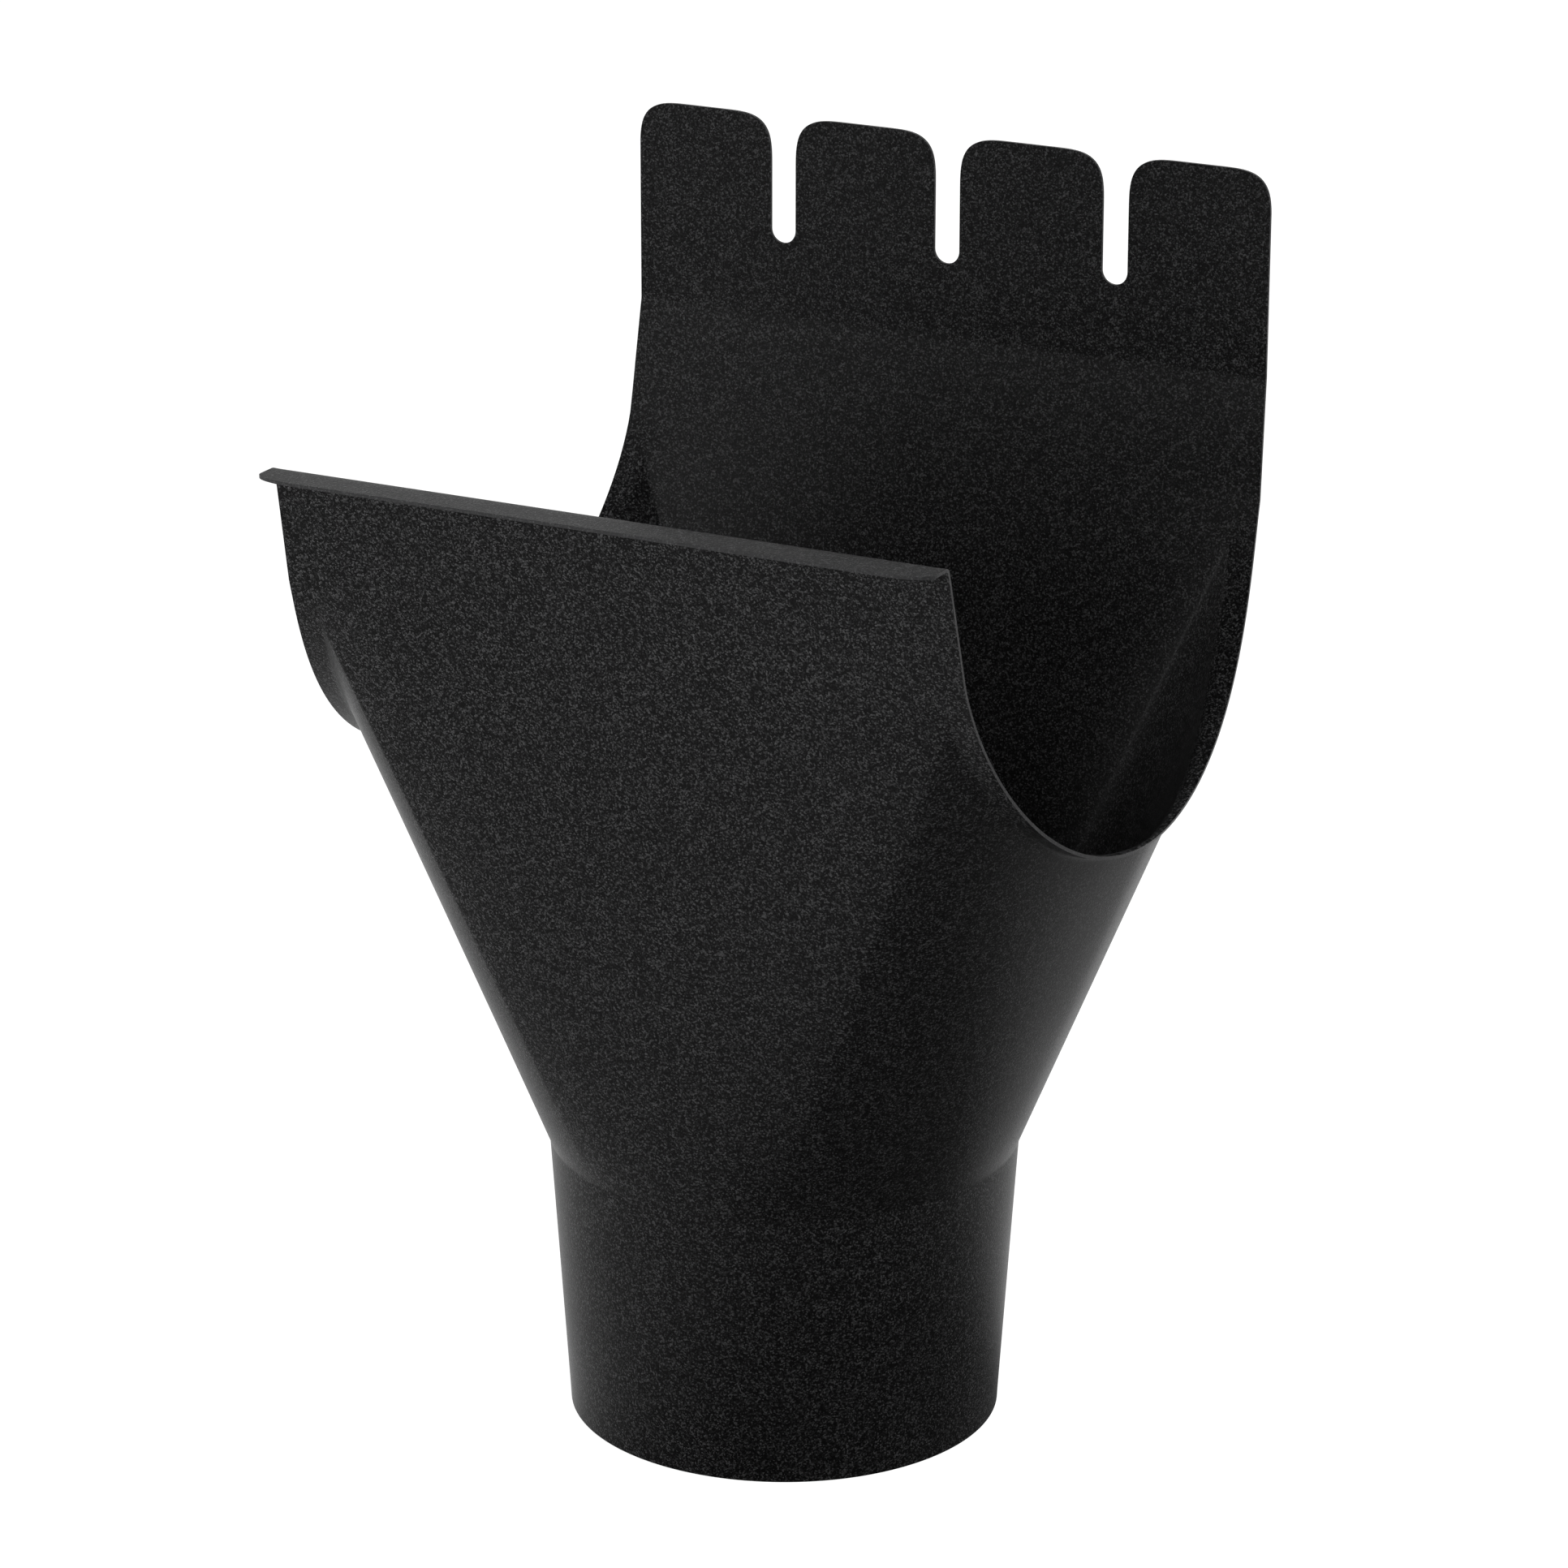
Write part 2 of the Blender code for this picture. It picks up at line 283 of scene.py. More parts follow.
# %% Grids, runs and paths
class Grid:
    """A flat grid of the blank, whose points know their column and row."""

    def __init__(self, bench, columns, rows):
        extent = {"Size X": columns, "Size Y": rows, "Vertices X": columns + 1, "Vertices Y": rows + 1}
        self.mesh = bench.node("GeometryNodeMeshGrid", {}, extent)
        self.bench = bench
        place = bench.node("GeometryNodeInputPosition")
        parts = bench.node("ShaderNodeSeparateXYZ", {}, {0: place})
        self.column = parts + columns / 2
        self.row = parts.other_output("Y") + rows / 2

    def press(self, place):
        return self.bench.node("GeometryNodeSetPosition", {}, {"Geometry": self.mesh, "Position": place})


def share(number, first, count):
    """How far a row is along the run of count rows that begins at first."""
    settings = {"operation": "DIVIDE", "use_clamp": True}
    return number.bench.node("ShaderNodeMath", settings, {0: number - first, 1: count})


def crowded(across):
    """Moves the places between -1 and 1 towards the two ends, where the folds are."""
    return across * (1.0 - CROWDING_AT_FOLDS) + sine(across * (math.pi / 2)) * CROWDING_AT_FOLDS


def straight(start, end, along):
    return (end - start) * along


def rounded(start, corner, end, along):
    """What a bend adds: from its start, towards the corner, to its end."""
    towards_corner = (corner - start) * (2.0 * along * (1.0 - along))
    return towards_corner + (end - start) * (along * along)


def bend_reach(before, corner, after, radius):
    """How far a bend of that radius reaches along the straight runs beside its corner."""
    turn = (before - corner).unit().dot((after - corner).unit())
    return radius * root((1.0 + turn) / (1.0 - turn))


def bend_ends(before, corner, after, reach):
    """Where a bend starts and ends on the two straight runs beside its corner."""
    return corner + (before - corner).unit() * reach, corner + (after - corner).unit() * reach


# %% [markdown]
# The saddle's profile is a half circle below two walls. An angle from straight down, negative in front,
# names a point of the half circle. The ends flare out as the circle goes down, so that they spring
# against the gutter.

# %% The saddle's profile
class Profile:
    """The outlet's profile, seen from its end, with the sizes as wires."""

    def __init__(self, sizes):
        self.size = sizes
        self.throat_height = sizes["Spigot length"]
        self.centre_height = self.throat_height + sizes["Funnel depth"] + sizes["Saddle radius"]
        self.foot = self.on_saddle(WALL_FOOT_ARC)
        front_foot_y, foot_z = self.on_saddle(-WALL_FOOT_ARC)
        rise = sizes["Front wall height"]
        self.lip_corner = (front_foot_y - rise * math.tan(FRONT_WALL_LEAN), foot_z + rise)
        rise = sizes["Rear wall height"]
        self.plate_foot = (self.foot[0] + rise * math.tan(REAR_WALL_LEAN), foot_z + rise)

    def on_saddle(self, arc):
        radius = self.size["Saddle radius"]
        return radius * sine(arc), self.centre_height - radius * cosine(arc)

    def flare(self, height):
        """How far an end stands out at a height of the half circle."""
        foot_z = self.foot[1]
        whole_depth = foot_z - self.centre_height + self.size["Saddle radius"]
        depth = higher_of((foot_z - height) / whole_depth, 0.0)
        return self.size["Bottom flare"] * depth ** BOTTOM_FLARE_POWER

    def half_width_on_saddle(self, height):
        return self.size["Saddle width"] / 2 + self.size["Wall flare"] + self.flare(height)

    def face_depth(self, height):
        """How far the middle of the funnel's front or rear face stands from the spigot's axis."""
        foot_y, foot_z = self.foot
        along = (foot_z - height) / (foot_z - self.throat_height)
        return foot_y + along * (self.size["Spigot top radius"] - foot_y)

    def middle_offset(self):
        """How far the spigot's axis lies behind the middle of the outlet's depth."""
        front = self.lip_corner[0] - self.size["Lip width"]
        rear = self.plate_foot[0]
        return -(front + rear) / 2

    def on_spigot(self, radius, angle, height):
        return point(radius * sine(angle), -radius * cosine(angle), height)

    def throat(self, angle):
        return self.on_spigot(self.size["Spigot top radius"], angle, self.throat_height)

    def spigot_end(self, angle):
        return self.on_spigot(self.size["Spigot end radius"], angle, 0.0)


# %% [markdown]
# ### The walls
#
# The two wall grids run over the full width. In front the rows start at the lip's outer edge, whose
# corners are rounded off, go round the tight bend and down the wall. Behind they start at the top of
# the plate and go round a wider bend. Both end where the funnel's corners leave the half circle: there
# the middle of the row is already flat, as part of the funnel's face, and only its ends are still round.

# %% How finely the blank is divided
FACE_COLUMNS = 28
STRIP_COLUMNS = 4
LIP_CORNER_ROWS = 8
LIP_ROWS = 3
LIP_BEND_ROWS = 5
PLATE_ROWS = 18
PLATE_BEND_ROWS = 5
WALL_ROWS = 10
CORNER_ROWS = 4
FLANK_COLUMNS = 80
CREASE_ROWS = 6
FUNNEL_ROWS = 44
THROAT_ROWS = 6
SPIGOT_ROWS = 24

# %% The outer part of each wall grid
def yz(pair):
    """A point in the middle of the outlet's width, from its Y and Z."""
    return point(0.0, pair[0], pair[1])


def front_edge(profile, row):
    """The lip with its rounded outer corners and its bend: its path, and how much narrower it is."""
    size = profile.size
    corner = yz(profile.lip_corner)
    edge = corner - point(0.0, size["Lip width"], 0.0)
    foot = yz(profile.on_saddle(-WALL_FOOT_ARC))
    start, end = bend_ends(edge, corner, foot, bend_reach(edge, corner, foot, size["Lip bend radius"]))
    turn = share(row, 0, LIP_CORNER_ROWS) * (math.pi / 2)
    inset = point(0.0, size["Lip corner depth"] * (1.0 - cosine(turn)), 0.0)
    whole_inset = point(0.0, size["Lip corner depth"], 0.0)
    path = edge + inset
    path = path + straight(edge + whole_inset, start, share(row, LIP_CORNER_ROWS, LIP_ROWS))
    path = path + rounded(start, corner, end, share(row, LIP_CORNER_ROWS + LIP_ROWS, LIP_BEND_ROWS))
    narrower = size["Lip corner reach"] * (1.0 - sine(turn))
    return path, end, narrower


def rear_edge(profile, row):
    """The plate and the bend below it: its path, and how much narrower it is, which is nothing."""
    size = profile.size
    corner = yz(profile.plate_foot)
    top = corner + point(0.0, 0.0, size["Plate height"])
    foot = yz(profile.foot)
    start, end = bend_ends(top, corner, foot, bend_reach(top, corner, foot, size["Plate bend radius"]))
    path = top + straight(top, start, share(row, 0, PLATE_ROWS))
    path = path + rounded(start, corner, end, share(row, PLATE_ROWS, PLATE_BEND_ROWS))
    return path, end, 0.0


# %% A whole wall grid
def add_wall(bench, profile, side):
    """The front wall with its lip, side -1, or the rear wall with its plate, side 1."""
    outer_rows = LIP_CORNER_ROWS + LIP_ROWS + LIP_BEND_ROWS if side < 0 else PLATE_ROWS + PLATE_BEND_ROWS
    half = FACE_COLUMNS + STRIP_COLUMNS
    grid = Grid(bench, 2 * half, outer_rows + WALL_ROWS + CORNER_ROWS)
    column = (grid.column - half) * side
    path, bend_end, narrower = (front_edge if side < 0 else rear_edge)(profile, grid.row)
    down = share(grid.row, outer_rows, WALL_ROWS)
    round_the_corner = share(grid.row, outer_rows + WALL_ROWS, CORNER_ROWS)
    arc = side * (WALL_FOOT_ARC + (FUNNEL_CORNER_ARC - WALL_FOOT_ARC) * round_the_corner)
    foot = yz(profile.on_saddle(side * WALL_FOOT_ARC))
    on_arc = profile.on_saddle(arc)
    path = path + straight(bend_end, foot, down) + (yz(on_arc) - foot)

    size = profile.size
    flared = profile.flare(on_arc[1]) + size["Wall flare"] * down
    half_width = size["Saddle width"] / 2 + flared - narrower
    on_face = crowded(lower_of(abs(column) / FACE_COLUMNS, 1.0))
    on_strip = higher_of((abs(column) - FACE_COLUMNS) / STRIP_COLUMNS, 0.0)
    strip = size["End strip width"]
    reach = (half_width - strip) * on_face + strip * on_strip
    sign = column.maths("SIGN", column)
    flat = (profile.face_depth(on_arc[1]) - side * on_arc[0]) * (1.0 - on_face ** FACE_BLEND_POWER)
    return grid.press(path + point(reach * sign, side * flat, 0.0))


# %% [markdown]
# ### The funnel and the spigot
#
# Every line down the funnel is straight. It starts on the saddle's opening, turns at the throat with a
# small radius, and runs down the spigot's cone. The front and rear faces start from the walls' last
# rows. The two flanks start from the crease beside the end strip, the narrow rim of saddle that keeps
# its half-round shape and lies against the gutter. The crease takes up a share of the strip at most, and
# its bend closes at the flank's two ends, where it meets the flat faces.

# %% The lines down the funnel
def funnel_line(profile, top, angle, row, first_row):
    """What the rows add to a line from top: down the funnel, round the throat, down the spigot."""
    throat = profile.throat(angle)
    end = profile.spigot_end(angle)
    reach = bend_reach(top, throat, end, profile.size["Throat radius"])
    before, after = bend_ends(top, throat, end, reach)
    line = straight(top, before, share(row, first_row, FUNNEL_ROWS))
    line = line + rounded(before, throat, after, share(row, first_row + FUNNEL_ROWS, THROAT_ROWS))
    return line + straight(after, end, share(row, first_row + FUNNEL_ROWS + THROAT_ROWS, SPIGOT_ROWS))


def add_face(bench, profile, side):
    """The funnel's front face, side -1, or its rear face, side 1, and the spigot below it."""
    grid = Grid(bench, 2 * FACE_COLUMNS, FUNNEL_ROWS + THROAT_ROWS + SPIGOT_ROWS)
    across = crowded(grid.column / FACE_COLUMNS - 1.0) * side
    corner_y, corner_z = profile.on_saddle(FUNNEL_CORNER_ARC)
    inner = profile.half_width_on_saddle(corner_z) - profile.size["End strip width"]
    flat = (profile.face_depth(corner_z) - corner_y) * (1.0 - abs(across) ** FACE_BLEND_POWER)
    top = point(inner * across, side * (corner_y + flat), corner_z)
    angle = across * CORNER_ANGLE_ON_SPIGOT
    if side > 0:
        angle = math.pi - angle
    return grid.press(top + funnel_line(profile, top, angle, grid.row, 0))


# %% The funnel's flanks, with the end strip
def add_flank(bench, profile, side):
    """The end strip, its crease and the funnel's flank, at the outlet's left, -1, or right, 1."""
    size = profile.size
    rim_rows = STRIP_COLUMNS + CREASE_ROWS
    grid = Grid(bench, FLANK_COLUMNS, rim_rows + FUNNEL_ROWS + THROAT_ROWS + SPIGOT_ROWS)
    across = crowded(grid.column * (2.0 / FLANK_COLUMNS) - 1.0) * -side
    arc = across * FUNNEL_CORNER_ARC
    y, z = profile.on_saddle(arc)
    narrow = size["End strip at bottom"]
    width = narrow + (size["End strip width"] - narrow) * sine(abs(across) * (math.pi / 2))
    angle = (math.pi / 2 + across * (math.pi / 2 - CORNER_ANGLE_ON_SPIGOT)) * side
    half_width = profile.half_width_on_saddle(z)
    rim = point(half_width * side, y, z)
    corner = point((half_width - width) * side, y, z)
    throat = profile.throat(angle)
    reach = lower_of(bend_reach(rim, corner, throat, size["Crease radius"]), width * CREASE_SHARE_OF_STRIP)
    closing = lower_of((1.0 - abs(across)) * CREASE_CLOSING_RATE, 1.0)
    start, end = bend_ends(rim, corner, throat, reach * closing)
    path = rim + straight(rim, start, share(grid.row, 0, STRIP_COLUMNS))
    path = path + rounded(start, corner, end, share(grid.row, STRIP_COLUMNS, CREASE_ROWS))
    return grid.press(path + funnel_line(profile, end, angle, grid.row, rim_rows))


# %% [markdown]
# ### One sheet from six grids
#
# The six pressed grids meet exactly along their borders, so merging points that coincide makes one
# sheet. The fold between a face and a flank is sharp in the rule and soft in pressed steel. Two rounds
# of blurring the points' places soften it, while a weight of zero holds the sheet's free edges, which
# are the edges that belong to one face alone.
#
# The sizes are inputs of the tree, so that the modifier which carries the tree shows them all.

# %% A tree whose sizes are its inputs
class SizedTree:
    """A geometry tree with an input for each size, the wires of its inputs, and its modifier."""

    def __init__(self, name, sizes):
        self.name = name
        self.sizes = sizes
        self.tree = bpy.data.node_groups.new(name, "GeometryNodeTree")
        self.tree.interface.new_socket("Geometry", in_out="INPUT", socket_type="NodeSocketGeometry")
        self.tree.interface.new_socket("Geometry", in_out="OUTPUT", socket_type="NodeSocketGeometry")
        self.identifiers = {size_name: self.add_input(size_name) for size_name in sizes}
        self.bench = Bench(self.tree)
        entry = self.tree.nodes.new("NodeGroupInput")
        self.entering = Wire(self.bench, entry.outputs["Geometry"])
        self.size = {size_name: self.entering.other_output(size_name) for size_name in sizes}

    def add_input(self, size_name):
        """Adds one size to the inputs and returns the input's identifier."""
        socket = self.tree.interface.new_socket(size_name, in_out="INPUT", socket_type="NodeSocketFloat")
        socket.default_value = self.sizes[size_name]
        socket.subtype = "DISTANCE"
        return socket.identifier

    def leave_with(self, geometry):
        self.bench.add("NodeGroupOutput", {}, {"Geometry": geometry})

    def put_on(self, piece):
        """Adds the tree to a piece as a modifier, with its sizes."""
        modifier = piece.modifiers.new(self.name, "NODES")
        modifier.node_group = self.tree
        for size_name, identifier in self.identifiers.items():
            modifier[identifier] = self.sizes[size_name]


# %% The tree that presses the sheet
WELD_DISTANCE = 0.01 * MM
SOFTENING_ROUNDS = 2
FACES_AT_FOLD = 2


def on_free_edge(bench):
    """1 at the points on the sheet's free edges, and 0 elsewhere."""
    faces = bench.node("GeometryNodeInputMeshEdgeNeighbors")
    alone = faces.maths("LESS_THAN", faces, FACES_AT_FOLD)
    beside = bench.node("GeometryNodeFieldOnDomain", {"domain": "EDGE"}, {"Value": alone})
    return beside.maths("GREATER_THAN", beside, 0.0)


def softened(bench, sheet):
    """The sheet with its folds blurred and its free edges held."""
    inputs = {"Iterations": SOFTENING_ROUNDS, "Weight": 1.0 - on_free_edge(bench)}
    blurred = bench.node("GeometryNodeBlurAttribute", {"data_type": "FLOAT_VECTOR"}, inputs)
    value = next(entry for entry in blurred.socket.node.inputs if entry.type == "VECTOR")
    bench.connect(bench.node("GeometryNodeInputPosition"), value)
    return bench.node("GeometryNodeSetPosition", {}, {"Geometry": sheet, "Position": blurred})


def press_tree(material):
    """Six pressed grids, welded to one sheet, moved to the frame's middle and coated."""
    press = SizedTree("press_the_outlet", SIZES)
    bench = press.bench
    profile = Profile(press.size)
    pressed = [make(bench, profile, side) for make in (add_wall, add_face, add_flank) for side in (-1, 1)]
    sheet = bench.node("GeometryNodeJoinGeometry", {}, {0: pressed})
    sheet = bench.node("GeometryNodeMergeByDistance", {}, {"Geometry": sheet, "Distance": WELD_DISTANCE})
    sheet = softened(bench, sheet)
    shift = point(0.0, profile.middle_offset(), 0.0)
    sheet = bench.node("GeometryNodeSetPosition", {}, {"Geometry": sheet, "Offset": shift})
    sheet = bench.node("GeometryNodeSetShadeSmooth", {}, {"Geometry": sheet})
    sheet = bench.node("GeometryNodeRealizeInstances", {}, {"Geometry": sheet})
    sheet = bench.node("GeometryNodeSetMaterial", {}, {"Geometry": sheet, "Material": material})
    press.leave_with(sheet)
    return press


# %% [markdown]
# ### The slots
#
# Three slots part the plate into four tabs, which the roofer bends over the gutter's rear edge one by
# one. A punch cuts a slot in one stroke: a straight slot with a round end, which opens at the top in a
# full curve that rounds the shoulders of both tabs. The plate's two outer corners are rounded by the
# same curve, so the same punch does them too, with half of it hanging over the plate's end. Its slot
# stays clear of the plate there, by a few hundredths of a millimetre.
#
# The punch is a closed outline, made of runs like the paths above, filled and then extruded. It is
# instanced on two lines of points, one for the slots and one for the corners. A Mesh Boolean takes it
# from the sheet after the sheet has its thickness, so the slots get real cut edges. The plate's top and
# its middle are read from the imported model's box.

# %% The sizes of the slots
SLOT_WIDTH = 6.0 * MM
CORNER_CLEARANCE = 0.03 * MM
SLOT_SIZES = {
    "Slot pitch": 39.4 * MM,
    "Slot width": SLOT_WIDTH,
    "Slot depth": 28.1 * MM,
    "Shoulder reach": 12.0 * MM,
    "Corner punch place": (SIZES["Saddle width"] + SLOT_WIDTH) / 2 + CORNER_CLEARANCE,
    "Plate top": model_box[1].z,
    "Plate middle": model_box[1].y - SIZES["Sheet thickness"] / 2,
}
SLOT_COUNT = 3
PLATE_CORNERS = 2
SHOULDER_FULLNESS = 3.6
SLOT_END_STEPS = 12
SHOULDER_STEPS = 24
PUNCH_MARGIN = 5.0 * MM
SHEET_SLOT = 1

# %% The outline of the punch
def eased(along):
    """Runs from 0 to 1 like along, with small steps at both ends, where the shoulder turns fast."""
    return along * along * (3.0 - 2.0 * along)


def punch_outline(bench, size):
    """A closed curve round the slot, through its end at the bottom and up to both shoulders."""
    steps = SLOT_END_STEPS + 1 + SHOULDER_STEPS + 1
    points = {"Resolution": 2 * steps + 1}
    circle = bench.node("GeometryNodeCurvePrimitiveCircle", {"mode": "RADIUS"}, points)
    number = bench.node("GeometryNodeInputIndex") - steps
    step = abs(number)
    half = size["Slot width"] / 2
    reach = size["Shoulder reach"]
    low = -size["Slot depth"]
    end_turn = share(step, 0, SLOT_END_STEPS) * (math.pi / 2)
    x = half * sine(end_turn)
    y = low + half * (1.0 - cosine(end_turn))
    side_height = -reach - low - half
    y = y + side_height * share(step, SLOT_END_STEPS, 1)
    turn = eased(share(step, SLOT_END_STEPS + 1, SHOULDER_STEPS)) * (math.pi / 2)
    x = x + reach * (1.0 - cosine(turn) ** (2 / SHOULDER_FULLNESS))
    y = y + reach * sine(turn) ** (2 / SHOULDER_FULLNESS)
    y = y + PUNCH_MARGIN * share(step, steps - 1, 1)
    place = point(x * number.maths("SIGN", number), y, 0.0)
    return bench.node("GeometryNodeSetPosition", {}, {"Geometry": circle, "Position": place})


# %% The tree that punches the slots
def punch_solid(bench, size, material):
    """The outline given depth, turned upright, with its origin at the plate's top edge."""
    outline = punch_outline(bench, size)
    depth = (0.0, 0.0, 2 * PUNCH_MARGIN)
    flat = bench.node("GeometryNodeFillCurve", {}, {"Curve": outline})
    grown = bench.node("GeometryNodeExtrudeMesh", {}, {"Mesh": flat, "Offset": depth, "Individual": False})
    back = bench.node("GeometryNodeFlipFaces", {}, {"Mesh": flat})
    solid = bench.node("GeometryNodeJoinGeometry", {}, {0: [grown, back]})
    solid = bench.node("GeometryNodeMergeByDistance", {}, {"Geometry": solid, "Distance": WELD_DISTANCE})
    upright = (math.pi / 2, 0.0, 0.0)
    turn = {"Geometry": solid, "Translation": (0.0, PUNCH_MARGIN, 0.0), "Rotation": upright}
    solid = bench.node("GeometryNodeTransform", {}, turn)
    return bench.node("GeometryNodeSetMaterial", {}, {"Geometry": solid, "Material": material})


def places_along(bench, count, pitch, size):
    """Points in a row along X at the plate's top edge, with the row's middle in the plate's middle."""
    start = point(pitch * (-0.5 * (count - 1)), size["Plate middle"], size["Plate top"])
    inputs = {"Count": count, "Start Location": start, "Offset": point(pitch, 0.0, 0.0)}
    return bench.node("GeometryNodeMeshLine", {}, inputs)


def coat_edges(bench, sheet, edge_highlight_material):
    """Gives the edges' coating, with its painted highlight, to the faces in the slots after the sheet's
    own.
    """
    index = bench.node("GeometryNodeInputMaterialIndex")
    on_edges = index.maths("GREATER_THAN", index, SHEET_SLOT + 0.5)
    inputs = {"Geometry": sheet, "Selection": on_edges, "Material": edge_highlight_material}
    return bench.node("GeometryNodeSetMaterial", {}, inputs)


def punch_tree(edge_highlight_material):
    """Takes a punch for each slot and each corner of the plate out of the sheet."""
    cutter = SizedTree("punch_the_slots", SLOT_SIZES)
    bench = cutter.bench
    size = cutter.size
    slots = places_along(bench, SLOT_COUNT, size["Slot pitch"], size)
    corners = places_along(bench, PLATE_CORNERS, size["Corner punch place"] * 2.0, size)
    places = bench.node("GeometryNodeJoinGeometry", {}, {0: [slots, corners]})
    punch = punch_solid(bench, size, edge_highlight_material)
    punches = bench.node("GeometryNodeInstanceOnPoints", {}, {"Points": places, "Instance": punch})
    punches = bench.node("GeometryNodeRealizeInstances", {}, {"Geometry": punches})
    sheet = coat_edges(bench, cutter.entering, edge_highlight_material)
    cut = {"Mesh 1": sheet, "Mesh 2": punches}
    sheet = bench.node("GeometryNodeMeshBoolean", {"operation": "DIFFERENCE", "solver": "EXACT"}, cut)
    sheet = bench.node("GeometryNodeRealizeInstances", {}, {"Geometry": sheet})
    cutter.leave_with(coat_edges(bench, sheet, edge_highlight_material))
    return cutter


# %% [markdown]
# ### Pressed, thickened, punched
#
# The steps are modifiers on one object, in a workshop's order. Solidify gives the pressed skin the
# sheet's thickness, inwards, because the sizes were measured on the outside. The punch follows, and a
# narrow Bevel takes the sharpness off all cut edges, as paint does. Then the result is turned into a
# plain mesh and the modifiers go.
#
# The edges have a coating of their own, lighter than the faces as a painted highlight along the cut
# edges. The blank therefore has three material slots: an empty one, which the pressed grids bring
# along, the sheet's and the edges'. Solidify moves the rim one slot on, and the empty slot goes at the
# end.

# %% From modifiers to a plain mesh
INWARDS = -1.0
EDGE_ROUNDING = 0.15 * MM
EDGE_ROUNDING_STEPS = 2
SHARPEST_BEND = math.radians(50.0)


def plain_mesh(piece, name):
    """What the modifiers give, as a plain mesh without modifiers."""
    bpy.context.view_layer.update()
    seen = piece.evaluated_get(bpy.context.evaluated_depsgraph_get())
    mesh = bpy.data.meshes.new_from_object(seen)
    mesh.name = name
    piece.modifiers.clear()
    piece.data = mesh
    return mesh


def add_thickness(piece, thickness):
    modifier = piece.modifiers.new("thickness", "SOLIDIFY")
    modifier.thickness = thickness
    modifier.offset = INWARDS
    modifier.use_even_offset = True
    modifier.use_quality_normals = True
    modifier.material_offset_rim = 1


def soften_edges(piece):
    modifier = piece.modifiers.new("soft_edges", "BEVEL")
    modifier.width = EDGE_ROUNDING
    modifier.segments = EDGE_ROUNDING_STEPS
    modifier.limit_method = "ANGLE"
    modifier.angle_limit = SHARPEST_BEND
    modifier.harden_normals = True


def drop_empty_slots(mesh):
    for number in reversed(range(len(mesh.materials))):
        if mesh.materials[number] is None:
            mesh.materials.pop(index=number)


# %% Make the outlet
coating = bpy.data.materials.new("black_coating")
# The edges' coating is lighter: a painted highlight along the cut edges.
edge_highlight_coating = bpy.data.materials.new("black_coating_painted_edge_highlight")
blank = bpy.data.meshes.new("blank")
for material in (None, coating, edge_highlight_coating):
    blank.materials.append(material)
outlet = bpy.data.objects.new("outlet_sheet", blank)
bpy.context.scene.collection.objects.link(outlet)

press_tree(coating).put_on(outlet)
add_thickness(outlet, SIZES["Sheet thickness"])
punch_tree(edge_highlight_coating).put_on(outlet)
soften_edges(outlet)
sheet = plain_mesh(outlet, "outlet_sheet")
drop_empty_slots(sheet)
print("outlet:", len(sheet.vertices), "points,", len(sheet.polygons), "faces")
print("materials:", [material.name for material in sheet.materials])

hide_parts("gutter_outlet")
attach(outlet, "root")

# %% [markdown]
# ## The black coating
#
# The outlet is coated after pressing, with a matte black polyester paint that dries with a fine
# wrinkled grain, about 0.3 mm across. Each grain tilts its small patch of paint, so some catch the
# light and their neighbours do not. A few grain tops are painted lighter, as painted glints of that
# light, over a little random tone of the paint. From where the photographer stands a grain is one
# speck, less than two pixels of the photograph wide.
#
# Voronoi cells give one round dome to each grain, in Object coordinates, in metres. A cell's random
# colour says how high its dome stands and how light it is. A high power makes most grains dark and a
# few light: painted glints, sprinkled like salt. A slow noise adds the unevenness of the pressed sheet
# to the bump. Both change the roughness a little as well.

# %% The grain of the coating
GRAIN_SIZE = 0.31 * MM
GRAIN_HEIGHT = 0.05 * MM
PAINTED_GLINT_RARITY = 4.0
DOME_TOP = 0.05
DOME_FOOT = 0.8
LOWEST_DOME = 0.3
SHEET_WAVE_SIZE = 28.0 * MM
SHEET_WAVE_HEIGHT = 0.12 * MM
SHEET_WAVE_DETAIL = 1.0
SHEET_WAVE_BREAK_UP = 0.55
# The lightest grey, on a few grains, is a painted glint over the paint's own random tone.
PAINT_GREYS_AND_PAINTED_GLINTS = (0.0035, 0.062)
PAINT_BLUENESS = 1.02
PAINT_ROUGHNESS = 0.36
GRAIN_IN_ROUGHNESS = 0.1
WAVE_IN_ROUGHNESS = 0.08
PAINT_SPECULAR = 0.045


def empty_bench(owner):
    """A bench on the cleared node tree of a material or of the world."""
    owner.use_nodes = True
    owner.node_tree.nodes.clear()
    return Bench(owner.node_tree)


def place_on_object(bench):
    return bench.node("ShaderNodeTexCoord", {}, {}, "Object")


def sheet_wave(bench, place):
    """The slow unevenness of the pressed sheet, around 0.5."""
    slow = {"Vector": place, "Scale": 1.0 / SHEET_WAVE_SIZE}
    fine = {"Detail": SHEET_WAVE_DETAIL, "Roughness": SHEET_WAVE_BREAK_UP}
    return bench.node("ShaderNodeTexNoise", {}, {**slow, **fine}, "Fac")


def spread(value, low, high):
    """Stretches the values between low and high over the whole range from 0 to 1."""
    inputs = {"Value": value, "From Min": low, "From Max": high}
    return value.bench.node("ShaderNodeMapRange", {"clamp": True}, inputs, "Result")


